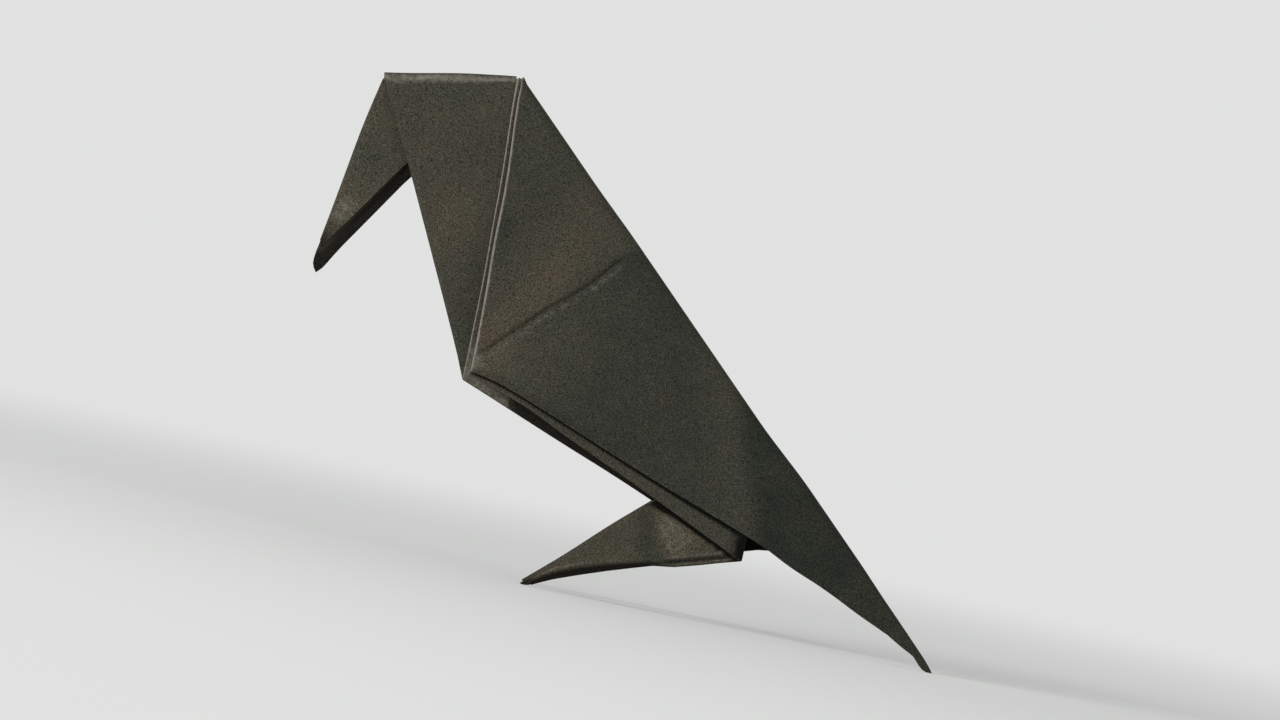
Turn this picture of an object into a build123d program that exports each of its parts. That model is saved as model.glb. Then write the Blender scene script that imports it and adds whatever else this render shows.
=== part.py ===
from build123d import *
import math
import os

# Sheet: one square of paper, folded into a bird with a tail, a neck, a beak and two feet
sheet_side = 150.0
paper_thickness = 0.1
layer_gap = 0.03
flap_angle = 22.5

# Flap edges are folded a little short of the middle line, so each raw edge stops beside it
fold_short = 1.0
shoulder_step = 0.7

# Creases of the reverse folds: distance from the breast corner along the edge, and degrees to the spine
foot_crease_edge = 48.9
foot_crease_angle = 46.9
head_crease_edge = 46.0
head_crease_angle = 50.3
neck_lean = 2.7

# Blunt ends
beak_blunt = 4.4
beak_corner = 1.0
beak_tuck = 1.2
tail_pinch = 29.0
tail_depth = 9.4
tail_tip_spread = 0.25
worn_tip = 0.35

# Back fold: it stands above the pile inside it and is bevelled down on both sides
back_rise = 0.7
back_bevel = 0.3
back_half_width = 0.4

# Opening of the body wall about the back, in degrees, and the share of it that each inner wall takes
body_opening = 12.0
hem_share = 0.92
leg_hem_share = 0.88
leg_outer_share = 0.84
leg_inner_share = 0.46
shoulder_share = 0.44
neck_share = 0.42
neck_hem_share = 0.38
beak_hem_share = 0.36
beak_share = 0.13
foot_share = 0.17
foot_hem_share = 0.02

# Place of each wall in the pile at the back fold, counted in sheets from the middle plane
body_count = 10.0
hem_count = 9.15
leg_hem_count = 8.3
leg_outer_count = 7.4
leg_inner_count = 3.4
shoulder_count = 2.4
neck_count = 1.4
neck_hem_count = 0.55
beak_hem_count = 0.65
beak_count = 0.45
foot_count = 1.0
foot_hem_count = 0.5

# Sizes that follow from the sheet
flap_length = sheet_side / 2
crown_length = flap_length * math.sqrt(2)
half_sheet = paper_thickness / 2
pitch = paper_thickness + layer_gap
slant = math.radians(flap_angle)
opening = math.tan(math.radians(body_opening))
raw_gap = 2 * fold_short * math.cos(slant)
lean = math.radians(neck_lean)


# Flat geometry: points are (along the back from the tail tip, away from the back)
def mirrored(p, a, b):
    dx, dy = b[0] - a[0], b[1] - a[1]
    t = ((p[0] - a[0]) * dx + (p[1] - a[1]) * dy) / (dx * dx + dy * dy)
    return (2 * (a[0] + t * dx) - p[0], 2 * (a[1] + t * dy) - p[1])


def crossing(a, b, c, d):
    ux, uy = b[0] - a[0], b[1] - a[1]
    vx, vy = d[0] - c[0], d[1] - c[1]
    t = ((c[0] - a[0]) * vy - (c[1] - a[1]) * vx) / (ux * vy - uy * vx)
    return (a[0] + t * ux, a[1] + t * uy)


def beside(a, b, step):
    length = math.dist(a, b)
    nx, ny = -(b[1] - a[1]) / length, (b[0] - a[0]) / length
    return (a[0] + step * nx, a[1] + step * ny), (b[0] + step * nx, b[1] + step * ny)


# Band one sheet wide just inside one edge of an outline
def rim(outline, a, b):
    i, j = outline.index(a), outline.index(b)
    near_a = [outline[i - 1], outline[(i + 1) % len(outline)]]
    near_b = [outline[j - 1], outline[(j + 1) % len(outline)]]
    near_a.remove(b)
    near_b.remove(a)
    middle = (sum(p[0] for p in outline) / len(outline), sum(p[1] for p in outline) / len(outline))
    turn = (b[0] - a[0]) * (middle[1] - a[1]) - (b[1] - a[1]) * (middle[0] - a[0])
    c, d = beside(a, b, math.copysign(paper_thickness, turn))
    return [a, b, crossing(c, d, b, near_b[0]), crossing(c, d, a, near_a[0])]


# Flap outline, the same for the legs and the neck
tip = (0.0, 0.0)
back_end = (flap_length, 0.0)
raw_corner = (raw_gap, raw_gap)
raw_end = (flap_length, raw_gap)
breast = (flap_length, flap_length * math.tan(slant) + fold_short / math.cos(slant))
body_corner = (flap_length, flap_length * math.tan(slant))


def on_edge(from_breast):
    return (breast[0] - from_breast * math.cos(slant), breast[1] - from_breast * math.sin(slant))


# Crease of a reverse fold moved toward the tip by a step: its ends on the edge, spine and raw line
def crease(edge, angle, step):
    end = on_edge(edge)
    start = (end[0] + end[1] / math.tan(math.radians(angle)), 0.0)
    a, b = beside(start, end, step)
    return crossing(a, b, breast, raw_corner), crossing(a, b, tip, back_end), crossing(a, b, raw_corner, raw_end)


foot_edge, foot_spine, foot_raw = crease(foot_crease_edge, foot_crease_angle, 0)
foot_edge_past, foot_spine_past, foot_raw_past = crease(foot_crease_edge, foot_crease_angle, pitch)
foot_edge_short, foot_spine_short, foot_raw_short = crease(foot_crease_edge, foot_crease_angle, -pitch)
head_edge, head_spine, head_raw = crease(head_crease_edge, head_crease_angle, 0)
head_edge_past, head_spine_past, head_raw_past = crease(head_crease_edge, head_crease_angle, pitch)
head_edge_short, head_spine_short, head_raw_short = crease(head_crease_edge, head_crease_angle, -pitch)

# Neck: the flap turned up about a crease through the breast corner, leaning forward
neck_root = (flap_length + breast[1] * math.tan(lean / 2), 0.0)


def neck(p):
    if p == breast:
        return breast
    rise = neck_root[0] - p[0]
    return (
        neck_root[0] + rise * math.cos(lean) - p[1] * math.sin(lean),
        rise * math.sin(lean) + p[1] * math.cos(lean),
    )


def beak(p):
    return mirrored(neck(p), neck(head_spine), neck(head_edge))


def foot(p):
    return mirrored(p, foot_spine, foot_edge)


# Stance: both toe tips and the tail tip lie on the ground
stance = math.pi - math.atan2(foot(tip)[1], foot(tip)[0])


def place(p, side):
    along, down = p
    return Vector(
        along * math.cos(stance) - down * math.sin(stance),
        -side,
        along * math.sin(stance) + down * math.cos(stance),
    )


# Wall: a plane given as its distance from the middle plane over the flat outline
class Wall:
    def __init__(self, base, along, away):
        self.base = base
        self.along = along
        self.away = away

    def at(self, p):
        return self.base + self.along * p[0] + self.away * p[1]

    def moved(self, step):
        return Wall(self.base + step, self.along, self.away)

    def twin(self):
        return Wall(-self.base, -self.along, -self.away)


def opened(count, share):
    return Wall(count * pitch, 0, share * opening)


# Wall of a reverse-folded tip: it spreads from the turned spine toward the tip's edge, off a middle wall
def spread(spine_tip, spine_root, edge_end, middle, count, share):
    a, b = beside(spine_tip, spine_root, 1)
    nx, ny = a[0] - spine_tip[0], a[1] - spine_tip[1]
    rise = share * opening
    if nx * (edge_end[0] - spine_tip[0]) + ny * (edge_end[1] - spine_tip[1]) < 0:
        rise = -rise
    start = count * pitch - rise * (nx * spine_tip[0] + ny * spine_tip[1])
    return Wall(middle.base + start, middle.along + rise * nx, middle.away + rise * ny)


# Wall that keeps another wall's height where the tail begins and falls to a height at a point of the tip
def pinched(wall, end, end_height):
    fall = (wall.at((tail_pinch, end[1])) - end_height) / (tail_pinch - end[0])
    return Wall(wall.base - fall * tail_pinch, wall.along + fall, wall.away)


def slab(outline, low, high):
    bottom = [place(p, low.at(p)) for p in outline]
    top = [place(p, high.at(p)) for p in outline]
    faces = [Face(Wire.make_polygon(bottom)), Face(Wire.make_polygon(top))]
    for i in range(len(outline)):
        faces.append(Face(Wire.make_polygon([bottom[i - 1], bottom[i], top[i], top[i - 1]])))
    return Solid(Shell(faces))


def layer(outline, wall):
    return slab(outline, wall.moved(-half_sheet), wall.moved(half_sheet))


def fold(outline, a, b, low, high):
    return slab(rim(outline, a, b), low.moved(-half_sheet), high.moved(half_sheet))


def spine_fold(outline, a, b, wall):
    outside = wall.moved(half_sheet)
    return slab(rim(outline, a, b), outside.twin(), outside)


near = []
middle = []

# Body and tail: the outer wall from crown to tail tip, with its edge turned in as a hem
tail_back = (0.0, -back_rise)
tail_end = (0.0, 0.0)
pinch_back = (tail_pinch, -back_rise)
pinch_bevel = (tail_pinch, back_bevel)
pinch_raw = (tail_pinch, raw_gap)
pinch_edge = (tail_pinch, tail_depth)
crown_back = (crown_length + back_rise, -back_rise)
crown_bevel = (crown_length - back_bevel, back_bevel)
hem_tip = (raw_gap * tail_pinch / tail_depth, raw_gap)
body_wall = opened(body_count, 1)
hem_wall = opened(hem_count, hem_share)
back_slope = (body_wall.at(pinch_bevel) - back_half_width) / (back_rise + back_bevel)
back_wall = Wall(back_half_width + back_rise * back_slope, 0, back_slope)
tail_wall = pinched(body_wall, tail_back, tail_tip_spread + pitch)
tail_hem_wall = pinched(hem_wall, hem_tip, tail_tip_spread + raw_gap * opening)
tail_back_wall = pinched(back_wall, tail_back, tail_tip_spread + pitch)
body = [pinch_bevel, crown_bevel, body_corner, pinch_edge]
body_back = [pinch_back, crown_back, crown_bevel, pinch_bevel]
tail = [tail_back, pinch_bevel, pinch_edge, tail_end]
tail_ridge = [tail_back, pinch_back, pinch_bevel]
body_hem = [pinch_raw, raw_end, body_corner, pinch_edge]
tail_hem = [hem_tip, pinch_raw, pinch_edge]
near += [layer(body, body_wall), layer(body_back, back_wall)]
near += [layer(tail, tail_wall), layer(tail_ridge, tail_back_wall)]
near += [layer(body_hem, hem_wall), layer(tail_hem, tail_hem_wall)]
near += [fold(body_hem, body_corner, pinch_edge, hem_wall, body_wall)]
near += [fold(tail_hem, pinch_edge, hem_tip, tail_hem_wall, tail_wall)]
middle += [spine_fold(body_back, pinch_back, crown_back, back_wall)]
middle += [spine_fold(tail_ridge, tail_back, pinch_back, tail_back_wall)]

# Leg: a flap folded in two inside the body wall, each half hemmed
leg_outer_wall = opened(leg_outer_count, leg_outer_share)
leg_hem_wall = opened(leg_hem_count, leg_hem_share)
leg_inner_wall = opened(leg_inner_count, leg_inner_share)
neck_hem_wall = opened(neck_hem_count, neck_hem_share)
leg_crown = (crown_length, 0.0)
shoulder_crown = (crown_length + shoulder_step * math.sqrt(2), 0.0)
neck_raw = crossing(neck(raw_corner), neck(raw_end), breast, neck_root)
leg_outer = [foot_spine, leg_crown, body_corner, breast, foot_edge]
leg_hem = [foot_raw_past, raw_end, breast, foot_edge_past]
leg_inner = [foot_spine, shoulder_crown, breast, foot_edge]
leg_inner_hem = [foot_raw_past, neck_raw, breast, foot_edge_past]
near += [layer(leg_outer, leg_outer_wall), layer(leg_hem, leg_hem_wall)]
near += [layer(leg_inner, leg_inner_wall), layer(leg_inner_hem, neck_hem_wall)]
near += [fold(leg_outer, foot_spine, leg_crown, leg_inner_wall, leg_outer_wall)]
near += [fold(body, crown_bevel, body_corner, leg_outer_wall, body_wall)]
near += [fold(leg_outer, breast, foot_edge, leg_outer_wall, leg_hem_wall)]
near += [fold(leg_inner, breast, foot_edge, neck_hem_wall, leg_inner_wall)]
near += [fold(body_hem, raw_end, body_corner, leg_hem_wall, hem_wall)]

# Foot: the leg's tip turned forward between the two halves of the leg
leg_middle = Wall(
    (leg_outer_wall.base + leg_inner_wall.base) / 2,
    (leg_outer_wall.along + leg_inner_wall.along) / 2,
    (leg_outer_wall.away + leg_inner_wall.away) / 2,
)
foot_main = [foot(p) for p in [foot_spine, foot_edge, raw_corner, tip]]
foot_hem = [foot(p) for p in [foot_raw_short, foot_edge_short, raw_corner]]
turned_leg = [foot(tip), foot(foot_spine), foot(foot_edge), leg_middle]
foot_outer_wall = spread(*turned_leg, foot_count, foot_share)
foot_outer_hem_wall = spread(*turned_leg, foot_hem_count, foot_hem_share)
foot_inner_hem_wall = spread(*turned_leg, -foot_hem_count, -foot_hem_share)
foot_inner_wall = spread(*turned_leg, -foot_count, -foot_share)
near += [layer(foot_main, foot_outer_wall), layer(foot_main, foot_inner_wall)]
near += [layer(foot_hem, foot_outer_hem_wall), layer(foot_hem, foot_inner_hem_wall)]
near += [fold(foot_main, foot_main[3], foot_main[0], foot_inner_wall, foot_outer_wall)]
near += [fold(foot_hem, foot_hem[1], foot_hem[2], foot_outer_hem_wall, foot_outer_wall)]
near += [fold(foot_hem, foot_hem[1], foot_hem[2], foot_inner_wall, foot_inner_hem_wall)]
near += [fold(leg_outer, foot_edge, foot_spine, foot_outer_wall, leg_outer_wall)]
near += [fold(leg_inner, foot_edge, foot_spine, leg_inner_wall, foot_inner_wall)]
near += [fold(leg_hem, foot_edge_past, foot_raw_past, foot_outer_hem_wall, leg_hem_wall)]
near += [fold(leg_inner_hem, foot_edge_past, foot_raw_past, neck_hem_wall, foot_inner_hem_wall)]

# Shoulder and neck: the far end of the leg's inner half turns back and up into the neck
shoulder_wall = opened(shoulder_count, shoulder_share)
neck_wall = opened(neck_count, neck_share)
shoulder_back = (shoulder_crown[0] + pitch, -pitch)
root_back = crossing(breast, neck_root, (0, -pitch), (flap_length, -pitch))
shoulder = [root_back, shoulder_back, breast]
neck_main = [neck(p) for p in [neck_root, breast, head_edge_past, head_spine_past]]
neck_hem = [neck_raw] + [neck(p) for p in [breast, head_edge, head_raw]]
near += [layer(shoulder, shoulder_wall), layer(neck_main, neck_wall), layer(neck_hem, neck_hem_wall)]
near += [fold(shoulder, shoulder_back, breast, shoulder_wall, leg_inner_wall)]
near += [fold(neck_main, neck_main[0], neck_main[1], neck_wall, shoulder_wall)]
near += [fold(neck_main, neck_main[1], neck_main[2], neck_hem_wall, neck_wall)]
middle += [spine_fold(shoulder, root_back, shoulder_back, shoulder_wall)]
middle += [spine_fold(neck_main, neck_main[3], neck_main[0], neck_wall)]

# Head and beak: the neck's tip turned down between the two halves of the neck, its end crushed blunt
blunt_edge = crossing((beak_blunt, 0), (beak_blunt, raw_gap), raw_corner, breast)
blunt_spine = (beak_blunt - beak_corner, beak_tuck)
beak_raw_end = (beak_blunt, raw_gap + beak_tuck)
beak_hem_tip = crossing(head_raw, beak_raw_end, raw_corner, breast)
flat_wall = Wall(0, 0, 0)
beak_main = [beak(p) for p in [head_spine_short, head_edge_short, beak_hem_tip, blunt_edge, blunt_spine]]
beak_hem = [beak(p) for p in [head_raw, head_edge, beak_hem_tip]]
turned_neck = [beak(blunt_spine), beak(head_spine), beak(head_edge), flat_wall]
beak_wall = spread(*turned_neck, beak_count, beak_share)
beak_hem_wall = spread(*turned_neck, beak_hem_count, beak_hem_share)
near += [layer(beak_main, beak_wall), layer(beak_hem, beak_hem_wall)]
near += [fold(neck_main, neck_main[2], neck_main[3], beak_wall, neck_wall)]
near += [fold(neck_hem, neck_hem[2], neck_hem[3], beak_hem_wall, neck_hem_wall)]
near += [fold(beak_hem, beak_hem[1], beak_hem[2], beak_wall, beak_hem_wall)]
middle += [spine_fold(beak_main, beak_main[4], beak_main[0], beak_wall)]

# Whole sheet: the near half, its twin and the folds between them, worn flat where the tips touch down
near_half = near[0].fuse(*near[1:])
far_half = near_half.mirror(Plane.XZ)
whole = near_half.fuse(far_half, *middle)
whole = split(whole, bisect_by=Plane.XY.offset(worn_tip), keep=Keep.TOP)
box = whole.bounding_box()
centre = Vector((box.min.X + box.max.X) / 2, (box.min.Y + box.max.Y) / 2, box.min.Z)
folded_sheet = whole.solids()[0].moved(Location(-centre))

os.makedirs("parts", exist_ok=True)
export_step(folded_sheet, "parts/folded_sheet.step")
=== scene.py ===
import math

import bmesh
import bpy
import numpy as np
from mathutils import Matrix, Vector
from mathutils.geometry import delaunay_2d_cdt


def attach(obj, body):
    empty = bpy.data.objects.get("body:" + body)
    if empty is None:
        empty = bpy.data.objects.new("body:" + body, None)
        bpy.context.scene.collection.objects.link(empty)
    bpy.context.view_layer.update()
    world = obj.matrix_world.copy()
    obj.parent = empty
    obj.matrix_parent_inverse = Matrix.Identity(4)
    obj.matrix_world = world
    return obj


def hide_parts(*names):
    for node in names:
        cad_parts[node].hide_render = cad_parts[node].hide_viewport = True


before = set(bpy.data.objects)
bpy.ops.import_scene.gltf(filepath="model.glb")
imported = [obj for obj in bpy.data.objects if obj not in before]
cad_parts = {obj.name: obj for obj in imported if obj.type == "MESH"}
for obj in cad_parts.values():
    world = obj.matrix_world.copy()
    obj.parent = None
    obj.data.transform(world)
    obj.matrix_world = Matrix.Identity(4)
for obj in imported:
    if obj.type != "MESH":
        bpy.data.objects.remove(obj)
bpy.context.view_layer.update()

# Sheet: one 150 mm square of thin black paper, folded and never cut. Points are (along the back from
# the tail tip, away from the back) in mm, and every layer lies at its own distance from the middle plane.
sheet_side = 150.0
flap = sheet_side / 2
slant = math.radians(22.5)
fold_short = 1.0
raw_gap = 2 * fold_short * math.cos(slant)
tip = (0.0, 0.0)
raw_corner = (raw_gap, raw_gap)
raw_end = (flap, raw_gap)
breast = (flap, flap * math.tan(slant) + fold_short / math.cos(slant))
foot_crease = (48.9, 46.9)
tail_reach = 50.55
worn_tip = 0.35
sag_reach = 15.0
breast_slack = (-0.6, -0.4)


def mirrored(p, a, b):
    dx, dy = b[0] - a[0], b[1] - a[1]
    t = ((p[0] - a[0]) * dx + (p[1] - a[1]) * dy) / (dx * dx + dy * dy)
    return (2 * (a[0] + t * dx) - p[0], 2 * (a[1] + t * dy) - p[1])


def crossing(a, b, c, d):
    ux, uy = b[0] - a[0], b[1] - a[1]
    vx, vy = d[0] - c[0], d[1] - c[1]
    t = ((c[0] - a[0]) * vy - (c[1] - a[1]) * vx) / (ux * vy - uy * vx)
    return (a[0] + t * ux, a[1] + t * uy)


def beside(a, b, step):
    length = math.dist(a, b)
    nx, ny = -(b[1] - a[1]) / length, (b[0] - a[0]) / length
    return (a[0] + step * nx, a[1] + step * ny), (b[0] + step * nx, b[1] + step * ny)


# Crease of a turned tip, from its distance to the breast along the edge and its angle to the spine. It may
# be moved a step toward the tip. Its ends lie on the edge, the spine and the raw line.
def crease(edge, angle, step=0.0):
    end = (breast[0] - edge * math.cos(slant), breast[1] - edge * math.sin(slant))
    start = (end[0] + end[1] / math.tan(math.radians(angle)), 0.0)
    a, b = beside(start, end, step)
    on_edge = crossing(a, b, breast, raw_corner)
    on_spine = crossing(a, b, tip, (flap, 0.0))
    on_raw = crossing(a, b, raw_corner, raw_end)
    return on_edge, on_spine, on_raw


foot_edge, foot_spine, foot_raw = crease(*foot_crease)


def foot(p):
    return mirrored(p, foot_spine, foot_edge)


# The crow stands on the tip of its tail and on its toes
stance = math.pi - math.atan2(foot(tip)[1], foot(tip)[0])


def smooth(t):
    t = np.clip(t, 0, 1)
    return t * t * (3 - 2 * t)


# How far the back line sinks below a straight fold: a little in the tail, most behind the shoulder
def back_sag(u):
    tail = 0.12 * smooth(u / 6) * smooth((20 - u) / 8)
    return tail + 0.46 * smooth((u - 32) / 13) + 0.19 * smooth((u - 76) / 12)


# Flat points and their distances from the middle plane, set in the frame of the solid, in metres
def place(points, side):
    u, x = points[:, 0], points[:, 1]
    slack = smooth(x / 14) * smooth((u - 55) / 18)
    x = x + back_sag(u) * smooth(1 - x / sag_reach) + breast_slack[1] * slack
    u = u + breast_slack[0] * slack
    along = u * math.cos(stance) - x * math.sin(stance) + tail_reach
    up = u * math.sin(stance) + x * math.cos(stance) - worn_tip
    return np.stack([along, -side, up], 1) / 1000


# The soft unevenness of hand-folded paper, shared by all layers of one half, so none cuts another
def swell(u, x, far):
    turn = 2.1 if far else 0.0
    wave = np.sin(u / 11 + x / 17 + turn) + 0.6 * np.sin(u / 19 - x / 8 + 1.3 + 2 * turn)
    held = smooth(x / 12) * smooth((104 - u) / 16) * smooth(u / 15) * smooth((36 - x) / 6)
    return 0.12 * wave * held


# Body and tail: the outer wall on each side of the back fold, with its lower edge turned in as a hem.
# The two tail halves are pressed together toward the tip, and an old crease still crosses the body.
pitch = 0.13
opening = math.tan(math.radians(12.0))
corner_pinch = 1.2
pinch_reach = (9.0, 9.0)
tail_pinch = 29.0
tail_round = 4.0
ridge = 1.3
far_drop = 3.0
edge_share = 0.45
front_band = 0.6
row_share = 0.866
row_clear = 0.6
rim_clear = 0.5
rim_least = 0.05
off_shoulder = np.array([-0.71, -0.7])
body_bow = (0.36, 0.52)
crown_back = (105.77, -0.94)
body_corner = (75.2, 30.3)
hem_tip = (8.9, 1.9)
lower_edge = [
    body_corner, (72.5, 28.5), (69, 26.7), (59, 22.3), (48, 17.7), (38, 13.15), (33.3, 11.05), (29.6, 9.4),
    (25, 8.0), (19.6, 5.65), (12.4, 3.12), hem_tip,
]
nib_edge = [
    hem_tip, (6.6, 1.3), (5.2, 0.9), (3.9, 0.46), (3.2, 0.54), (1.9, 0.66), (1.06, 0.5), (0.55, 0.1),
    (0.25, -0.15),
]
verts, faces = [], []
marks = {"rub_or_highlight": [], "painted_shade": [], "warm": []}


# Each point carries how rubbed (or lit, as a painted highlight), how much painted shade darkens it, and how
# browned (partly painted light and shade) the paper is there
def add_points(points, side, far, rubbed_or_lit, shade_painted, warm):
    first = len(verts)
    verts.extend(place(points, -side if far else side))
    for name, values in (("rub_or_highlight", rubbed_or_lit), ("painted_shade", shade_painted), ("warm", warm)):
        marks[name].extend(np.broadcast_to(values, len(points)))
    return np.arange(first, first + len(points))


def at_points(amount, u, x):
    return amount(u, x) if callable(amount) else amount


# Points spread evenly along a line of straight stretches
def run(points, count):
    p = np.array(points, float)
    gone = np.concatenate([[0], np.cumsum(np.hypot(*np.diff(p, axis=0).T))])
    at = np.linspace(0, gone[-1], count + 1)
    return np.stack([np.interp(at, gone, p[:, 0]), np.interp(at, gone, p[:, 1])], 1)


# A line with its corners cut off, again and again
def rounded(points, times=2):
    p = np.array(points, float)
    for _ in range(times):
        cut = np.stack([0.75 * p[:-1] + 0.25 * p[1:], 0.25 * p[:-1] + 0.75 * p[1:]], 1).reshape(-1, 2)
        p = np.concatenate([p[:1], cut, p[-1:]])
    return p


def to_outline(p, loop):
    a, b = loop, np.roll(loop, -1, axis=0)
    d = b - a
    t = ((p[:, None] - a) * d).sum(2) / np.maximum((d * d).sum(1), 1e-12)
    near = a + np.clip(t, 0, 1)[..., None] * d
    return np.sqrt(((p[:, None] - near) ** 2).sum(2)).min(1)


def inside(p, loop):
    a, b = loop, np.roll(loop, -1, axis=0)
    y = p[:, None, 1]
    straddles = (a[:, 1] > y) != (b[:, 1] > y)
    rise = np.where(b[:, 1] == a[:, 1], 1e-12, b[:, 1] - a[:, 1])
    crossed_at = a[:, 0] + (y - a[:, 1]) * (b[:, 0] - a[:, 0]) / rise
    return (straddles & (p[:, None, 0] < crossed_at)).sum(1) % 2 == 1


# One flat layer: its outline as runs of points, filled with triangles, and set at its distance. Extra rows
# of points follow creases and edges, and a turned layer is laid out in its flap before it is folded over.
def layer(runs, side, far, spacing, rows=(), turned=None, rubbed_or_lit=0.0, shade_painted=0.0, warm=0.4):
    loop = np.concatenate([r[:-1] for r in runs])
    low, high = loop.min(0), loop.max(0)
    across = np.arange(low[0], high[0], spacing)
    down = np.arange(low[1], high[1], spacing * row_share)
    across, down = np.meshgrid(across, down, indexing="ij")
    across = across + (np.arange(across.shape[1]) % 2) * spacing / 2
    grid = np.stack([across.ravel(), down.ravel()], 1)
    extra = np.concatenate([np.zeros((0, 2)), *rows])
    if len(extra):
        extra = extra[inside(extra, loop)]
        extra = extra[to_outline(extra, loop) > rim_least]
        clear = np.array([np.hypot(*(extra - g).T).min() for g in grid])
        grid = grid[clear > spacing * row_clear]
    grid = grid[inside(grid, loop)]
    grid = grid[to_outline(grid, loop) > spacing * rim_clear]
    flat = np.concatenate([loop, extra, grid])
    ring = [(i, (i + 1) % len(loop)) for i in range(len(loop))]
    _, _, made, source, _, _ = delaunay_2d_cdt([Vector(p) for p in flat], ring, [], 1, 1e-6)
    u, x = flat.T
    folded = flat if turned is None else np.stack(turned(u, x), 1)
    height = side(u, x) + swell(folded[:, 0], folded[:, 1], far)
    ids = add_points(folded, height, far, *(at_points(a, u, x) for a in (rubbed_or_lit, shade_painted, warm)))
    for face in made:
        faces.append([int(ids[source[k][0]]) for k in face])
    edges, at = [], 0
    for r in runs:
        pick = (at + np.arange(len(r))) % len(loop)
        edges.append((ids[pick], folded[pick], height[pick]))
        at += len(r) - 1
    return edges


# One fold: a rounded strip from one layer's edge to another's, standing out from both by the bulge. A twin
# fold joins the two halves, and a front fold is rubbed and painted lighter, a painted highlight, only on
# the side of its first edge.
def fold(
    first, second, outward, bulge, steps, far=False, twin=False, front=False, rubbed_or_lit=0.0, shade_painted=0.0
):
    ids_a, flat_a, high_a = first
    ids_b, flat_b, high_b = second
    same_way = math.dist(flat_a[0], flat_b[0]) + math.dist(flat_a[-1], flat_b[-1])
    other_way = math.dist(flat_a[0], flat_b[-1]) + math.dist(flat_a[-1], flat_b[0])
    if same_way > other_way:
        ids_b, flat_b, high_b = ids_b[::-1], flat_b[::-1], high_b[::-1]
    high_b = -high_b if twin else high_b
    run_way = flat_a[-1] - flat_a[0]
    way = np.array([-run_way[1], run_way[0]]) / np.hypot(*run_way)
    if way @ np.array(outward) < 0:
        way = -way
    reach = np.broadcast_to(bulge, len(ids_a))
    rub_or_lit = np.broadcast_to(rubbed_or_lit, len(ids_a))
    warm_a, warm_b = (np.array(marks["warm"])[ids] for ids in (ids_a, ids_b))
    columns = [ids_a]
    for k in range(1, steps):
        turn = math.pi * k / steps
        share = (1 - math.cos(turn)) / 2
        flat = flat_a + (flat_b - flat_a) * share + np.outer(reach * math.sin(turn), way)
        height = high_a + (high_b - high_a) * share
        rub_or_lit_here = smooth((front_band - k / steps) / front_band) if front else math.sin(turn) ** 0.5
        warm = warm_a + (warm_b - warm_a) * share
        columns.append(add_points(flat, height, far, rub_or_lit * rub_or_lit_here, shade_painted, warm))
    columns.append(ids_b)
    for a, b in zip(columns, columns[1:]):
        for i in range(len(ids_a) - 1):
            faces.append([int(a[i]), int(a[i + 1]), int(b[i + 1]), int(b[i])])
    for ids in (ids_a, ids_b):
        for i, w in zip(ids, rub_or_lit):
            marks["rub_or_highlight"][i] = max(marks["rub_or_highlight"][i], edge_share * w)


def gap_bulge(first, second, share, most):
    return np.minimum(np.abs(first[2] - second[2]) * share, most)


def hump(t):
    return np.exp(-(t**2))


def soft_spot(u, x, middle, reach):
    return hump((u - middle[0]) / reach[0]) * hump((x - middle[1]) / reach[1])


def on_line(line, u):
    line = np.array(line)
    return np.interp(u, line[:, 0], line[:, 1])


# How far a point lies below an edge that is given from the breast to the tail
def below(edge, u, x):
    return (x - on_line(edge[::-1], u)) * math.cos(slant)


# A layer's distance from the middle plane: a number of pitches at the back, and a share of the opening
def wall(count, share):
    return lambda u, x: count * pitch + share * opening * x


# A long fold that bows off its straight line, away from the tail
def bowed(a, b, count, depth, at):
    share = np.linspace(0, 1, count + 1)
    off = depth * hump((share - at) / 0.2) * smooth(share / 0.1) * smooth((1 - share) / 0.1)
    way = (np.array(a) - b) / math.dist(a, b)
    return run([a, b], count) + np.outer(off, [-way[1], way[0]])


def back_line(u):
    return -0.7 + 0.5 * np.exp(-u / 2.5)


def pinch(u, x):
    return -corner_pinch * soft_spot(u, x, breast, pinch_reach)


def tail_fall(u):
    return ((tail_pinch - u) + np.sqrt((tail_pinch - u) ** 2 + tail_round**2)) / 2


def body_plain(u, x):
    return wall(10.0, 1.0)(u, x) - 0.0266 * tail_fall(u) + pinch(u, x)


# The old crease runs square off the back, and swings forward a little toward the breast
def old_crease_at(x):
    return 75.78 + 0.72 * smooth((x - 8) / 10)


def old_crease(u, x):
    off = u - old_crease_at(x)
    strength = smooth((x - 0.3) / 4) * smooth((30 - x) / 5)
    return -(0.28 * hump(off / 0.32) + 0.1 * hump(off / 1.3)) * strength


def body_side(u, x):
    t = np.clip((x - back_line(u)) / ridge, 0, 1)
    return body_plain(u, np.maximum(x, 0)) * np.sqrt(1 - (1 - t) ** 2) + old_crease(u, x)


def hem_side(u, x):
    return wall(9.15, 0.92)(u, x) - 0.039 * tail_fall(u) + pinch(u, x) + old_crease(u, x)


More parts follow.
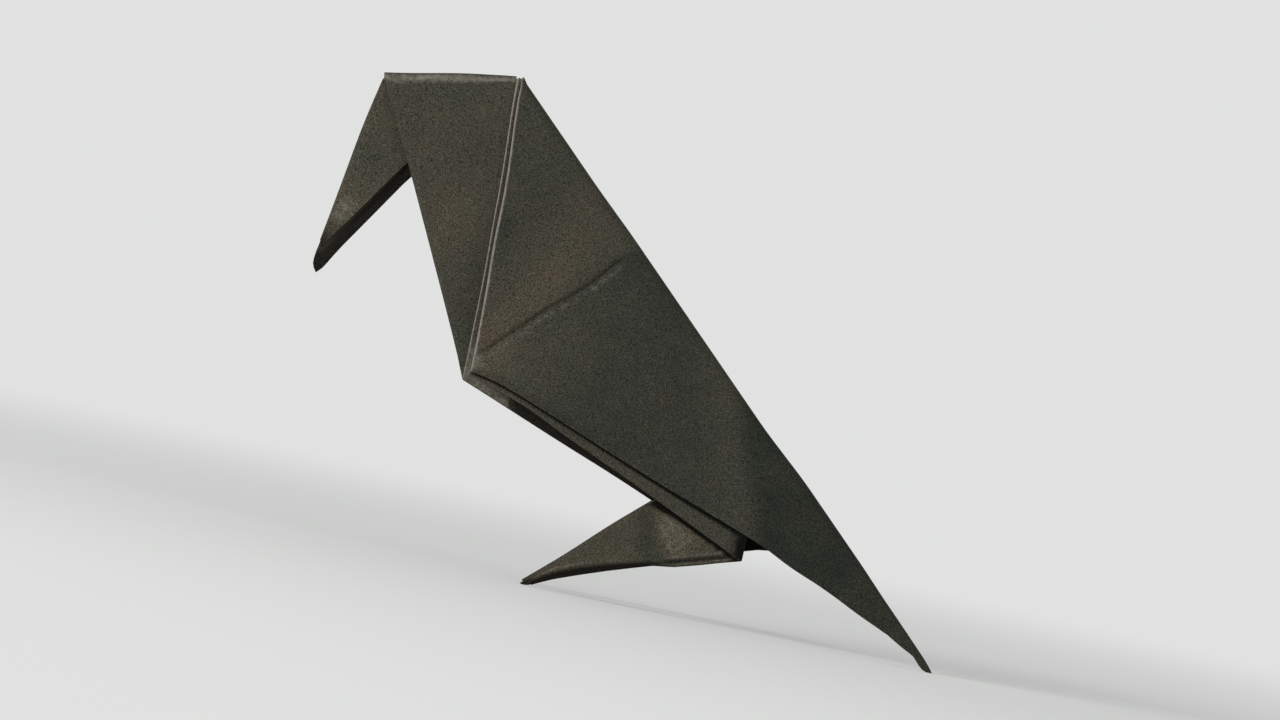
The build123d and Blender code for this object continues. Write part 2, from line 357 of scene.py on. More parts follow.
# The body is browned most above the old crease. Its tone also holds painted light and shade: lighter toward
# the breast, which faces the lamp, and darker along the back and in the tail, which turn away from it
def body_warm(u, x):
    from_tail = u + 1.71 * x
    in_body = smooth((from_tail - 45) / 7)
    above = smooth((u - old_crease_at(x) + 0.4) / 1.4)
    by_tail = 0.16 * smooth((66 - from_tail) / 14)
    by_breast = 0.2 * smooth((u - 62) / 9) * (0.3 + 0.7 * smooth((x - 8) / 10))
    by_back = 0.14 * smooth((6.5 - x) / 4) * smooth((u - 60) / 7)
    lower = 0.23 + by_tail + by_breast - by_back
    band = 0.46 * smooth((x + 2) / 16) * hump((u - 81 + 0.2 * (x - 6)) / 3.2)
    dim = 0.17 * soft_spot(u, x, (89, 15), (2.6, 3.5))
    upper = 0.5 - 0.14 * smooth((u - 85) / 6) + band - dim
    corner = 0.7 * soft_spot(u, x, (76.5, 27.5), (4.2426, 4.2426))
    tail_end = 0.1 * smooth((22 - u) / 8) + 0.12 * smooth((11 - u) / 4)
    return 0.08 + in_body * (lower + (upper - lower) * above) + corner + tail_end


# The breast corner is rubbed pale; a painted highlight lies on the lit side of the old crease's groove
def body_rub_and_lit(u, x):
    corner = 0.55 * soft_spot(u, x, (body_corner[0] + 1.2, body_corner[1] - 0.8), (2.236, 2.236))
    along_crease = smooth(x / 4) * smooth((31 - x) / 4)
    crease_lit = 0.38 * hump((u - old_crease_at(x) + 0.9) / 0.55) * along_crease
    return np.maximum(corner, crease_lit)


# Painted shade in the old crease's groove and along the lower edge, where the body curls in
def body_shade(u, x):
    groove = 0.45 * hump((u - old_crease_at(x) - 0.05) / 0.26) * smooth(x / 3) * smooth((30 - x) / 5)
    curled = 0.2 * smooth((1.0 + below(lower_edge, u, x)) / 0.6) * smooth((u - 50) / 10)
    return np.maximum(groove, curled)


back_u = np.linspace(nib_edge[-1][0], crown_back[0], 101)
back_run = np.stack([back_u, back_line(back_u)], 1)
back_run[-1] = crown_back
crown_run = bowed(crown_back, body_corner, 40, *body_bow)
nib = run(rounded(nib_edge), 12)
ridge_shares = (0.03, 0.12, 0.28, 0.5, 0.75, 1.0)
ridge_rows = [np.stack([back_u, back_line(back_u) + ridge * t], 1) for t in ridge_shares]
crease_steps = (-2.0, -1.3, -0.8, -0.5, -0.25, 0, 0.25, 0.5, 0.8, 1.3, 2.0)
crease_x = np.linspace(0.6, 29.5, 40)
crease_rows = [np.stack([old_crease_at(crease_x) + step, crease_x], 1) for step in crease_steps]
crown_rows = [crown_run + off_shoulder * step for step in (0.18, 0.5)]
halves = {}
for far in (False, True):
    low = run(rounded(lower_edge), 66)
    if far:
        low[:, 1] += far_drop * smooth((low[:, 0] - 28.3) / 3) * smooth((68 - low[:, 0]) / 30)
    lip_rows = [low - np.array([0.0, step]) for step in (0.3, 0.7, 1.1)]
    body = layer(
        [back_run, crown_run, low, nib],
        body_side,
        far,
        1.1,
        [*ridge_rows, *crease_rows, *crown_rows, *lip_rows],
        rubbed_or_lit=body_rub_and_lit,
        shade_painted=body_shade,
        warm=body_warm,
    )
    # The hem, folded away inside, is painted fully dark as painted shade
    hem = layer(
        [run([hem_tip, raw_end], 50), run([raw_end, body_corner], 16), low],
        hem_side,
        far,
        2.0,
        shade_painted=1.0,
    )
    lip = gap_bulge(body[2], hem[2], 0.4, 0.2) * smooth((low[:, 0] - hem_tip[0]) / 6)
    fold(body[2], hem[2], (-0.4, 1), lip, 4, far, rubbed_or_lit=0.42)
    halves[far] = {"body": body, "hem": hem}

# Legs: a flap folded in two inside each body wall, both halves hemmed. The outer half stops a little
# short of the inner one, so the belly shows a step.
outer_breast = (flap, 31.0)
leg_crown = (105.42, -0.34)
shoulder_crown = (105.98, -0.27)
leg_corner = (75.15, 30.5)
inner_bow = (0.38, 0.4)
lean = math.radians(2.7)
neck_root = (flap + breast[1] * math.tan(lean / 2), 0.0)
foot_edge_past, _, foot_raw_past = crease(*foot_crease, pitch)
strip_low = rounded([outer_breast, (66.8, 26.75), (61.5, 24.9), (54, 22.1), (47, 19.45), foot_edge])
belly_low = rounded([breast, (62, 26.55), (47, 19.95), foot_edge])
leg_inner_side = wall(3.4, 0.46)
inner_hem_side = wall(0.55, 0.38)


def neck(p):
    rise = neck_root[0] - p[0]
    return (
        neck_root[0] + rise * math.cos(lean) - p[1] * math.sin(lean),
        rise * math.sin(lean) + p[1] * math.cos(lean),
    )


def off_line(a, b):
    length = math.dist(a, b)
    return lambda u, x: ((b[0] - a[0]) * (x - a[1]) - (b[1] - a[1]) * (u - a[0])) / length


# Rows of points beside a straight line, at several distances
def row(a, b, offsets, spacing):
    made = []
    for step in offsets:
        c, d = beside(a, b, step)
        made.append(run([c, d], max(2, round(math.dist(c, d) / spacing))))
    return np.concatenate(made)


neck_raw = crossing(neck(raw_corner), neck(raw_end), breast, neck_root)
from_heel = off_line(foot_edge, foot_spine)
past_patch = off_line((68.42, 28.67), (67.62, 29.22))


def leg_outer_side(u, x):
    return wall(7.4, 0.84)(u, x) + pinch(u, x) + old_crease(u, x)


def leg_hem_side(u, x):
    return wall(8.3, 0.88)(u, x) + pinch(u, x) + old_crease(u, x)


# Painted shade: the strip that shows below the body is dark in the gap right under the body's edge, and at
# the heel
def under_body(u, x):
    down = below(lower_edge, u, x)
    off = from_heel(u, x)
    heel = 0.5 * smooth((2.7 - off) / 1.7) + 0.5 * smooth((1.4 - off) / 0.6)
    deep = 0.74 + 0.2 * smooth((50 - u) / 14)
    return np.maximum(smooth((deep - down) / 0.2), heel * smooth((down + 0.2) / 0.2))


# The strip is painted lighter near the breast, as painted light where it meets the lamp
def strip_warm(u, x):
    return 0.6 + 0.45 * hump((u - flap) / 5)


# The inner half shows as a light patch at the breast, which is painted light, and as a dark slit further
# back, which is painted shade
def slit(u, x):
    between = 0.2 * smooth((27 - x) / 5)
    return np.maximum(0.85 * smooth((past_patch(u, x) + 0.1) / 0.3) * smooth((80 - u) / 4), between)


def patch_lit(u, x):
    return 0.5 * smooth((u - 66) / 2) * smooth((x - 27) / 1.5)


gap_steps = (-0.3, 0.1, 0.35, 0.5, 0.62, 0.74, 0.86, 1.0, 1.3)
gap_rows = [run([(at, mid + step) for at, mid in lower_edge[:7]], 60) for step in gap_steps]
heel_rows = row(foot_edge, foot_raw, (0.3, 0.7, 1.0, 1.3, 1.7, 2.1, 2.6), 0.6)
patch_rows = row((69.12, 28.17), (66.42, 30.02), (-0.5, -0.2, 0.0, 0.2, 0.5), 0.3)
inner_run = bowed(shoulder_crown, breast, 40, *inner_bow)
inner_rows = [inner_run + off_shoulder * step for step in (0.15, 0.4, 0.8)]
for far in (False, True):
    h = halves[far]
    outer = layer(
        [
            run([foot_spine, leg_crown], 40),
            bowed(leg_crown, leg_corner, 40, *body_bow),
            run([leg_corner, outer_breast], 1),
            run(strip_low, 40),
            run([foot_edge, foot_spine], 14),
        ],
        leg_outer_side,
        far,
        1.6,
    )
    leg_hem = layer(
        [
            run([foot_raw_past, raw_end], 24),
            run([raw_end, outer_breast], 16),
            run([*strip_low[:-1], foot_edge_past], 40),
            run([foot_edge_past, foot_raw_past], 10),
        ],
        leg_hem_side,
        far,
        2.0,
        [*gap_rows, heel_rows],
        shade_painted=under_body,
        warm=strip_warm,
    )
    inner = layer(
        [
            run([foot_spine, shoulder_crown], 40),
            inner_run,
            run(belly_low, 80),
            run([foot_edge, foot_spine], 14),
        ],
        leg_inner_side,
        far,
        2.0,
        [patch_rows, *inner_rows],
        rubbed_or_lit=patch_lit,
        shade_painted=slit,
        warm=1.0,
    )
    # The inner hem is painted fully dark as painted shade
    inner_hem = layer(
        [
            run([foot_raw_past, neck_raw], 24),
            run([neck_raw, breast], 18),
            run([*belly_low[:-1], foot_edge_past], 80),
            run([foot_edge_past, foot_raw_past], 10),
        ],
        inner_hem_side,
        far,
        2.0,
        shade_painted=1.0,
    )
    fold(h["body"][1], outer[1], (1, 1), gap_bulge(h["body"][1], outer[1], 0.4, 0.22), 5, far, rubbed_or_lit=1.0)
    fold(h["hem"][1], leg_hem[1], (1, 0), 0.1, 3, far)
    fold(outer[0], inner[0], (0, -1), gap_bulge(outer[0], inner[0], 0.4, 0.2), 4, far)
    fold(outer[3], leg_hem[2], (-0.4, 1), gap_bulge(outer[3], leg_hem[2], 0.5, 0.2), 4, far, rubbed_or_lit=0.3)
    belly = gap_bulge(inner[2], inner_hem[2], 0.3, 0.2)
    fold(inner[2], inner_hem[2], (-0.4, 1), belly, 4, far, rubbed_or_lit=0.2, shade_painted=slit(*inner[2][1].T))
    h.update(outer=outer, leg_hem=leg_hem, inner=inner, inner_hem=inner_hem)

# Feet: the tip of each leg turned forward between the two halves of the leg. The lower edges are
# rolled under toward the toe, and a soft bend runs across where the foot leaves the leg. Points in the
# flap are (from the tip, from the spine).
toe_tip = (0.6, 0.05)
toe_mid = (1.25, 1.2)
toe_low = (1.9, 1.87)
foot_edge_short, _, foot_raw_short = crease(*foot_crease, -pitch)
bend_line = off_line((23.1, 0.0), (20.4, 12.0))
leg_middle = wall(5.4, 0.65)

# The rolled lower edge stops short of the flat one, by these lengths at these distances from the toe
roll_short = [
    (0, 0.8), (1, 0.7), (2.1, 1.05), (5, 1.4), (9, 1.5), (12.5, 1.5), (16, 1.4), (18.5, 1.3), (21, 0.62),
    (24.4, 0.36), (27.5, 0.2), (30, 0),
]

# Width of the rolled band along the foot's lower edge, at these distances from the toe
roll_width = [
    (0, 1.0), (3.2, 1.9), (5.7, 2.35), (9.6, 2.15), (13, 1.65), (16.3, 1.15), (20, 0.55), (30, 0.25),
]


# The bend bows toward the toe halfway down the foot
def from_bend(l, e):
    return bend_line(l, e) - 0.9 * hump((e - 5.5) / 3)


def foot_low(l):
    return raw_gap + (l - raw_gap) * math.tan(slant)


def foot_narrowed(l, e):
    raised = 0.36 * smooth((l - 6) / 12) * smooth((30 - l) / 4)
    taken_in = (on_line(roll_short, l) - raised) / foot_low(l)
    return foot((l, e * (1 - taken_in) - raised))


def foot_bend(l, e):
    bend = from_bend(l, e)
    valley = 0.5 * hump(bend / 2.2) * smooth(e / 4)
    return (0.25 * hump(bend / 6) - valley) * smooth((28 - l) / 5)


# How far a point lies into the rolled band, from 0 at its start to 1 at the lower edge
def rolled_in(l, e):
    width = on_line(roll_width, l)
    return (e - foot_low(l) + width) / width


def foot_roll(l, e):
    start = foot_low(l) - on_line(roll_width, l)
    lift = 0.62 * smooth(l / 5) * smooth((22 - l) / 8)
    rise = np.clip(e / np.maximum(start, 0.3), 0, 1) ** 4
    heel_ridge = 0.22 * hump((foot_low(l) - e - 1.4) / 0.4) * smooth((l - 19) / 3) * smooth((29 - l) / 2)
    return lift * rise * (1 - smooth(rolled_in(l, e))) + heel_ridge


def foot_side(way, count, share, rolled):
    def side(l, e):
        middle = leg_middle(*foot_narrowed(l, e)) + foot_bend(l, e)
        spread = count * pitch + share * opening * e + rolled * foot_roll(l, e)
        return middle + way * spread

    return side


def below_strip(l, e):
    return below(strip_low, *foot_narrowed(l, e))


# Painted shade: dark in the gap under the leg's strip, under the roll, in the groove at the heel and at the
# toe
def foot_shade(l, e):
    u, _ = foot_narrowed(l, e)
    gap = 0.9 + 0.45 * smooth((u - 39.3) / 4.5)
    under_strip = smooth((gap - below_strip(l, e)) / 0.25)
    under_roll = 0.9 * smooth((rolled_in(l, e) - 0.12) / 0.4) * smooth((21 - l) / 3)
    heel_groove = 0.92 * hump((foot_low(l) - e - 0.7) / 0.31) * smooth((l - 19) / 2)
    toe = 0.8 * smooth((3.4 - l) / 1.8)
    return np.maximum(np.maximum(under_strip, under_roll), np.maximum(heel_groove, toe))


# Painted light: the part behind the bend faces the lamp and is painted lighter, but not its lower edge
def heel_lit_side(l, e):
    return smooth((0.6 - from_bend(l, e)) / 1.6) * (1 - smooth((e - 7.7) / 1.8))


# Painted highlights on the ridge of the rolled edge and on the heel's ridge and rim, and painted light
# behind the bend
def foot_rub_and_lit(l, e):
    off_edge = foot_low(l) - e
    roll_top = 0.56 * hump((rolled_in(l, e) + 0.05) / 0.12) * smooth((22 - l) / 8) * smooth((l - 2) / 2)
    heel_top = np.maximum(0.55 * hump((off_edge - 1.4) / 0.25), 0.5 * hump((off_edge - 0.2) / 0.17))
    clear = smooth(off_edge - 1) * smooth((below_strip(l, e) - 0.9) / 0.4)
    lighter = 0.37 * heel_lit_side(l, e) * clear
    return np.maximum(np.maximum(roll_top, lighter), heel_top * smooth((l - 19.5) / 2))


# The foot's tone, with painted shade in the valley before the bend and painted light on the part behind it
def foot_warm(l, e):
    wide = 1.5 + 1.2 * smooth((e - 5.5) / 3)
    dark = 0.36 * hump((from_bend(l, e) - 1.6) / wide)
    return 0.78 - dark + 0.6 * heel_lit_side(l, e)


foot_l = np.linspace(2.4, 29, 44)
low_steps = (0.2, 0.4, 0.6, 0.8, 1.0, 1.2, 1.4, 1.6, 1.85, 2.1, 2.35, 2.6, 2.9, 3.3)
low_rows = [np.stack([foot_l, foot_low(foot_l) - step], 1) for step in low_steps]
strip_points = row(foot_edge, (44.0, 19.0), (0.15, 0.45, 0.65, 0.85, 1.2, 1.4, 1.65), 0.8)
strip_rows = np.array([foot(p) for p in strip_points])
for far in (False, True):
    h = halves[far]
    pads = {}
    for name, way in (("outer", 1), ("inner", -1)):
        pads[name] = layer(
            [
                run([foot_spine, foot_edge], 14),
                run([foot_edge, toe_low], 32),
                run([toe_low, toe_mid, toe_tip], 4),
                run([toe_tip, foot_spine], 36),
            ],
            foot_side(way, 1.0, 0.17, 1.0),
            far,
            1.1,
            [*low_rows, strip_rows],
            turned=foot_narrowed,
            rubbed_or_lit=foot_rub_and_lit,
            shade_painted=foot_shade,
            warm=foot_warm,
        )
        # The foot's hem is painted fully dark as painted shade
        pads[name + "_hem"] = layer(
            [
                run([foot_raw_short, foot_edge_short], 10),
                run([foot_edge_short, toe_low], 32),
                run([toe_low, foot_raw_short], 20),
            ],
            foot_side(way, 0.5, 0.02, 0.0),
            far,
            1.8,
            turned=foot_narrowed,
            shade_painted=1.0,
        )
        # The fold along the foot's lower edge is painted dark as painted shade
        low_edges = pads[name][1], pads[name + "_hem"][1]
        fold(*low_edges, (-1, 1), gap_bulge(*low_edges, 0.5, 0.2), 3, far, shade_painted=0.7)
    spines = pads["outer"][3], pads["inner"][3]
    fold(*spines, (1, 0), gap_bulge(*spines, 0.5, 0.2), 4, far, rubbed_or_lit=0.15)
    # The folds where the foot leaves the leg are painted dark as painted shade
    fold(h["outer"][4], pads["outer"][0], (-1, 0), 0.15, 3, far, shade_painted=1.0)
    fold(h["inner"][3], pads["inner"][0], (-1, 0), 0.15, 3, far, shade_painted=0.7)
    fold(h["leg_hem"][3], pads["outer_hem"][0], (-1, 0), 0.05, 2, far, shade_painted=1.0)
    fold(h["inner_hem"][3], pads["inner_hem"][0], (-1, 0), 0.05, 2, far, shade_painted=1.0)

# Shoulders and neck: the far end of each leg's inner half turns back, then up into the neck, and the
# two necks are one flap folded along its spine. Rubbing has whitened the shoulder fold.
shoulder_back = (shoulder_crown[0] + pitch, -pitch)
root_back = crossing(breast, neck_root, (0, -pitch), (flap, -pitch))
head_crease = (46.0, 50.3)
crown_past = 1.5
head_round = 1.0
top_share = np.linspace(0, 1, 25)
off_top = np.array([-0.81, 0.59])
head_edge, head_spine, _ = crease(*head_crease)


def head_bulge(share):
    return head_round * (0.95 - 0.45 * share) * smooth((share + 0.1) / 0.14)


# Points along the head's top crease, from its front end to past the spine, set in from the top by the
# radius of the fold; the top is bowed up a little
def head_top(way):
    length = math.dist(head_edge, head_spine)
    along = (np.array(head_spine) - head_edge) / length
    inward = np.array([along[1], -along[0]]) * way
    bow = 0.15 + 0.53 * smooth(top_share / 0.7) - 0.05 * smooth((top_share - 0.9) / 0.1)
    reach = top_share * (length + crown_past)
    return np.array(head_edge) + np.outer(reach, along) + np.outer(head_bulge(top_share) - bow, inward)


neck_top = np.array([neck(p) for p in head_top(-1)])
below_top = off_line(neck_top[0], neck_top[-1])


# The front edge of the neck is drawn in a little between its two ends
def neck_front(top):
    upper, lower = np.array(beside(top, breast, 0.28))
    step = 0.12 * (upper - lower)
    return rounded([breast, lower + step, upper - step, top])


def neck_side(u, x):
    worn_in = 0.1 * hump((u - 103.7) / 0.7) * smooth((x - 1) / 3) * smooth((15 - x) / 8)
    return wall(1.4, 0.42)(u, x) - worn_in


# The neck is painted lighter than the body, partly its browner paper and partly painted light where it
# faces the lamp
def neck_warm(u, x):
    lighter = 0.28 * soft_spot(u, x, (95, 20.5), (3, 4.5))
    dim = 0.14 * soft_spot(u, x, (101.5, 11), (2.5, 5))
    return 0.64 + lighter - dim - 0.07 * smooth((u - 106) / 5) - 0.1 * smooth((90 - u) / 4)


# The neck's rounded top is pale, partly rubbed and partly a painted highlight where the fold turns toward
# the lamp
def neck_top_rub_and_lit(u, x):
    return 0.58 * np.clip(1.15 - np.abs(below_top(u, x)) / (0.58 + 0.04 * x), 0, 1)


top_rows = [neck_top + off_top * step for step in (0.2, 0.4, 0.7, 1.1)]
hem_top, _, hem_raw = (neck(p) for p in crease(*head_crease, -head_round))
shoulder_run = bowed(shoulder_back, breast, 40, *inner_bow)
for far in (False, True):
    h = halves[far]
    shoulder = layer(
        [run([root_back, shoulder_back], 24), shoulder_run, run([breast, root_back], 24)],
        wall(2.4, 0.44),
        far,
        1.6,
        [shoulder_run + off_shoulder * step for step in (0.18, 0.5)],
        warm=0.7,
    )
    neck_main = layer(
        [
            run([neck_root, breast], 24),
            run(neck_front(neck_top[0]), 40),
            neck_top,
            run([neck_top[-1], neck_root], 26),
        ],
        neck_side,
        far,
        1.1,
        top_rows,
        rubbed_or_lit=neck_top_rub_and_lit,
        warm=neck_warm,
    )
    # The neck's hem is painted fully dark as painted shade
    neck_hem = layer(
        [
            run([neck_raw, breast], 18),
            run(neck_front(hem_top), 40),
            run([hem_top, hem_raw], 16),
            run([hem_raw, neck_raw], 24),
        ],
        inner_hem_side,
        far,
        1.8,
        shade_painted=1.0,
    )
    fold(h["inner"][1], shoulder[1], (1, 1), 0.14, 4, far, rubbed_or_lit=0.95)
    fold(shoulder[2], neck_main[0], (-1, 0), 0.1, 3, far)
    front = gap_bulge(neck_main[1], neck_hem[1], 0.5, 0.2)
    fold(neck_main[1], neck_hem[1], (0, 1), front, 4, far, rubbed_or_lit=0.2)
    h.update(shoulder=shoulder, neck=neck_main, neck_hem=neck_hem)

# Head and beak: the neck's tip turned down between the halves of the neck, with a rounded top fold.
# The hem springs open along its raw edge, and the end of the beak is crushed blunt.
beak_turn = math.radians(1.77)
beak_shrink = 0.043
beak_tip = (3.4, 1.15)
beak_tip_side = (3.9, 2.35)
beak_tip_edge = (5.4, 3.15)
beak_hem_tip = (7.4, 3.95)
beak_top = head_top(1)
beak_hem_edge, _, beak_hem_raw = crease(*head_crease, head_round)
beak_raw = [beak_hem_tip, (6.3, 3.0), (10.2, 3.15), (14.0, 2.92), (25.0, 2.75), beak_hem_raw]
beak_spine = [beak_tip, (4.4, 0.85), (8.0, 1.08), (14.0, 1.0), (25.0, 0.9), beak_top[-1]]
from_edge = off_line(breast, raw_corner)
from_crease = off_line(head_spine, head_edge)


# The beak swings out a little about the front of the head, and its folds take up some length
def beak_turned(l, e):
    free = smooth(np.abs(from_crease(l, e)) / 9)
    turn = free * beak_turn
    size = 1 - free * beak_shrink
    dl, de = l - head_edge[0], e - head_edge[1]
    swung_l = head_edge[0] + (dl * np.cos(turn) + de * np.sin(turn)) * size
    swung_e = head_edge[1] + (de * np.cos(turn) - dl * np.sin(turn)) * size
    return mirrored(neck((swung_l, swung_e)), neck(head_spine), neck(head_edge))


def beak_crest(top):
    return rounded([top, (27.0, 12.5), (12.0, 5.9), beak_hem_tip])


def beak_side(l, e):
    return 0.45 * pitch + 0.13 * opening * np.maximum(e - on_line(beak_spine[1:], l), 0)


def beak_hem_side(l, e):
    sprung = np.clip(np.abs(from_edge(l, e)) / 6, 0, 1) * smooth((l - 5) / 6) * smooth((28 - l) / 8)
    return beak_side(l, e) + pitch + 0.75 * sprung


# Painted shade: the inner face is dark where it shows past the raw edge, in the hem's shadow, and the blunt
# end is dark all round
def beak_shade(l, e):
    past_raw = smooth((on_line(beak_raw[1:], l) + 0.3 - e) / 0.4)
    return 0.87 * np.maximum(past_raw, smooth((7.2 - l) / 2))


# Painted shade on the hem toward the blunt end
def beak_hem_shade(l, e):
    return np.maximum(0.28 * smooth((12.2 - l) / 1.6), 0.8 * smooth((10.3 - l) / 2.6))


# A pale spot on the hem a little back from the tip
def beak_hem_pale_spot(l, e):
    return 0.44 * soft_spot(l, e, (13.0, 4.6), (3.2, 2.5))


def beak_hem_warm(l, e):
    return 0.74 + 0.2 * smooth((20 - l) / 10) - 0.25 * soft_spot(l, e, (21.5, 7), (3, 3))


# The head's top fold is rubbed and painted lighter, as a painted highlight, most a little way along from
# its front end
top_rub_and_lit = 0.62 - 0.11 * top_share + 0.1 * hump((top_share - 0.38) / 0.25)
for far in (False, True):
    h = halves[far]
    beak_main = layer(
        [
            beak_top[::-1],
            run(beak_crest(beak_top[0]), 26),
            run(rounded([beak_hem_tip, beak_tip_edge, beak_tip_side, beak_tip]), 7),
            run(rounded(beak_spine, 1), 36),
        ],
        beak_side,
        far,
        1.0,
        turned=beak_turned,
        shade_painted=beak_shade,
        warm=0.8,
    )
    beak_hem = layer(
        [
            run([beak_hem_raw, beak_hem_edge], 16),
            run(beak_crest(beak_hem_edge), 26),
            run(rounded(beak_raw, 1), 34),
        ],
        beak_hem_side,
        far,
        0.9,
        turned=beak_turned,
        rubbed_or_lit=beak_hem_pale_spot,
        shade_painted=beak_hem_shade,
        warm=beak_hem_warm,
    )
    bulge = head_bulge(top_share)
    fold(h["neck"][2], beak_main[0], (1, -0.1), bulge, 12, far, front=True, rubbed_or_lit=top_rub_and_lit)
    fold(h["neck_hem"][2], beak_hem[0], (1, -0.1), 0.05, 2, far)
    crest = beak_main[1], beak_hem[1]
    fold(*crest, (1, 1), gap_bulge(*crest, 0.5, 0.2), 3, far, rubbed_or_lit=0.3)
    h.update(beak=beak_main)

# Middle folds: the sheet's own middle line, where its two halves are still one piece of paper. They run
# along the shoulder, the neck and the beak; the body's halves meet along the back by themselves.
near, away = halves[False], halves[True]
fold(near["shoulder"][0], away["shoulder"][0], (0, -1), 0.25, 4, twin=True)
fold(near["neck"][3], away["neck"][3], (0, -1), 0.2, 4, twin=True)
# The beak's spine fold is painted dark as painted shade
fold(near["beak"][3], away["beak"][3], (-1, -0.2), 0.05, 3, twin=True, shade_painted=0.8)

# Whole crow: all layers and folds joined into one skin, which then gets the thickness of the paper.
# It stands loose on the ground, and the tips it stands on are pressed flat.
paper = 0.1
same_point = 2e-6
small_side = 1e-6
hole_sides = 60
sharp_angle = math.radians(60)
skin = bpy.data.meshes.new("crow_skin")
skin.from_pydata([tuple(v) for v in verts], [], faces)
for name, values in marks.items():
    skin.attributes.new(name, "FLOAT", "POINT").data.foreach_set("value", np.array(values, np.float32))
work = bmesh.new()
work.from_mesh(skin)
bmesh.ops.remove_doubles(work, verts=work.verts, dist=same_point)
bmesh.ops.dissolve_degenerate(work, edges=work.edges, dist=small_side)
bmesh.ops.holes_fill(work, edges=[e for e in work.edges if e.is_boundary], sides=hole_sides)
bmesh.ops.triangulate(work, faces=[f for f in work.faces if len(f.verts) > 4])
bmesh.ops.recalc_face_normals(work, faces=work.faces)
work.to_mesh(skin)
work.free()
crow = bpy.data.objects.new("crow_sheet", skin)
bpy.context.scene.collection.objects.link(crow)
thick = crow.modifiers.new("thickness", "SOLIDIFY")
thick.thickness = paper / 1000
thick.offset = 0
thick.use_rim = True
thick.material_offset_rim = 1
bpy.context.view_layer.update()
sheet = bpy.data.meshes.new_from_object(crow.evaluated_get(bpy.context.evaluated_depsgraph_get()))
crow.modifiers.clear()
crow.data = sheet
bpy.data.meshes.remove(skin)
sheet.name = "crow_sheet"
spots = np.zeros(len(sheet.vertices) * 3, np.float32)
sheet.vertices.foreach_get("co", spots)
spots[2::3] = np.maximum(spots[2::3], 0)
sheet.vertices.foreach_set("co", spots)
sheet.shade_smooth()
sheet.set_sharp_from_angle(angle=sharp_angle)
sheet.update()

# Paper: dyed black, matt and grainy, and browned in patches by handling. Its colour also holds painted
# light
# and shade: lighter where a surface faces the lamp, darker where it turns away, and dark painted shade in
# gaps, hems and hollows. Where a fold is rubbed, the dye is broken and pale fibres show, and painted
# highlights use the same pale. The sheet's raw edges show the same paper, a little duller.
plain_at = 0.42
# The pale of broken fibres on rubbed folds, also used for painted highlights
pale_fibre_or_lit = (0.25, 0.235, 0.2, 1)
greener = (0.98, 1.012, 0.99, 1)
redder = (1.03, 0.99, 0.997, 1)
dark_grain = (0.32, 0.32, 0.32, 1)
light_grain = (1.74, 1.72, 1.68, 1)
matt_paper = 0.74
grain_depth = 0.00006


class Value:
    """A socket's value, with arithmetic that adds Math nodes."""

    def __init__(self, tree, socket):
        self.tree, self.socket = tree, socket

    def math(self, operation, first, second):
        made = node(self.tree, "ShaderNodeMath", {"operation": operation}, [first, second])
        return Value(self.tree, made.outputs[0])

    def __add__(self, other):
        return self.math("ADD", self, other)

    def __radd__(self, other):
        return self.math("ADD", other, self)

    def __sub__(self, other):
        return self.math("SUBTRACT", self, other)

    def __rsub__(self, other):
        return self.math("SUBTRACT", other, self)

    def __mul__(self, other):
        return self.math("MULTIPLY", self, other)

    def __rmul__(self, other):
        return self.math("MULTIPLY", other, self)


def node(tree, kind, settings=(), values=()):
    made = tree.nodes.new(kind)
    for key, value in dict(settings).items():
        setattr(made, key, value)
    pairs = values.items() if isinstance(values, dict) else enumerate(values)
    for key, value in pairs:
        if isinstance(value, Value):
            tree.links.new(value.socket, made.inputs[key])
        else:
            made.inputs[key].default_value = value
    return made


def ramp(tree, value, low, high):
    settings = {"interpolation_type": "SMOOTHSTEP"}
    made = node(tree, "ShaderNodeMapRange", settings, [value, low, high, 0.0, 1.0])
    return Value(tree, made.outputs[0])


def mix(tree, share, first, second, blend="MIX"):
    settings = {"data_type": "RGBA", "blend_type": blend}
    made = node(tree, "ShaderNodeMix", settings, {0: share, 6: first, 7: second})
    return Value(tree, made.outputs[2])


def noise(tree, where, scale, detail, roughness):
    values = {"Vector": where, "Scale": scale, "Detail": detail, "Roughness": roughness}
    return Value(tree, node(tree, "ShaderNodeTexNoise", values=values).outputs[0])


def mark_value(tree, mark):
    return Value(tree, node(tree, "ShaderNodeAttribute", {"attribute_name": mark}).outputs["Fac"])


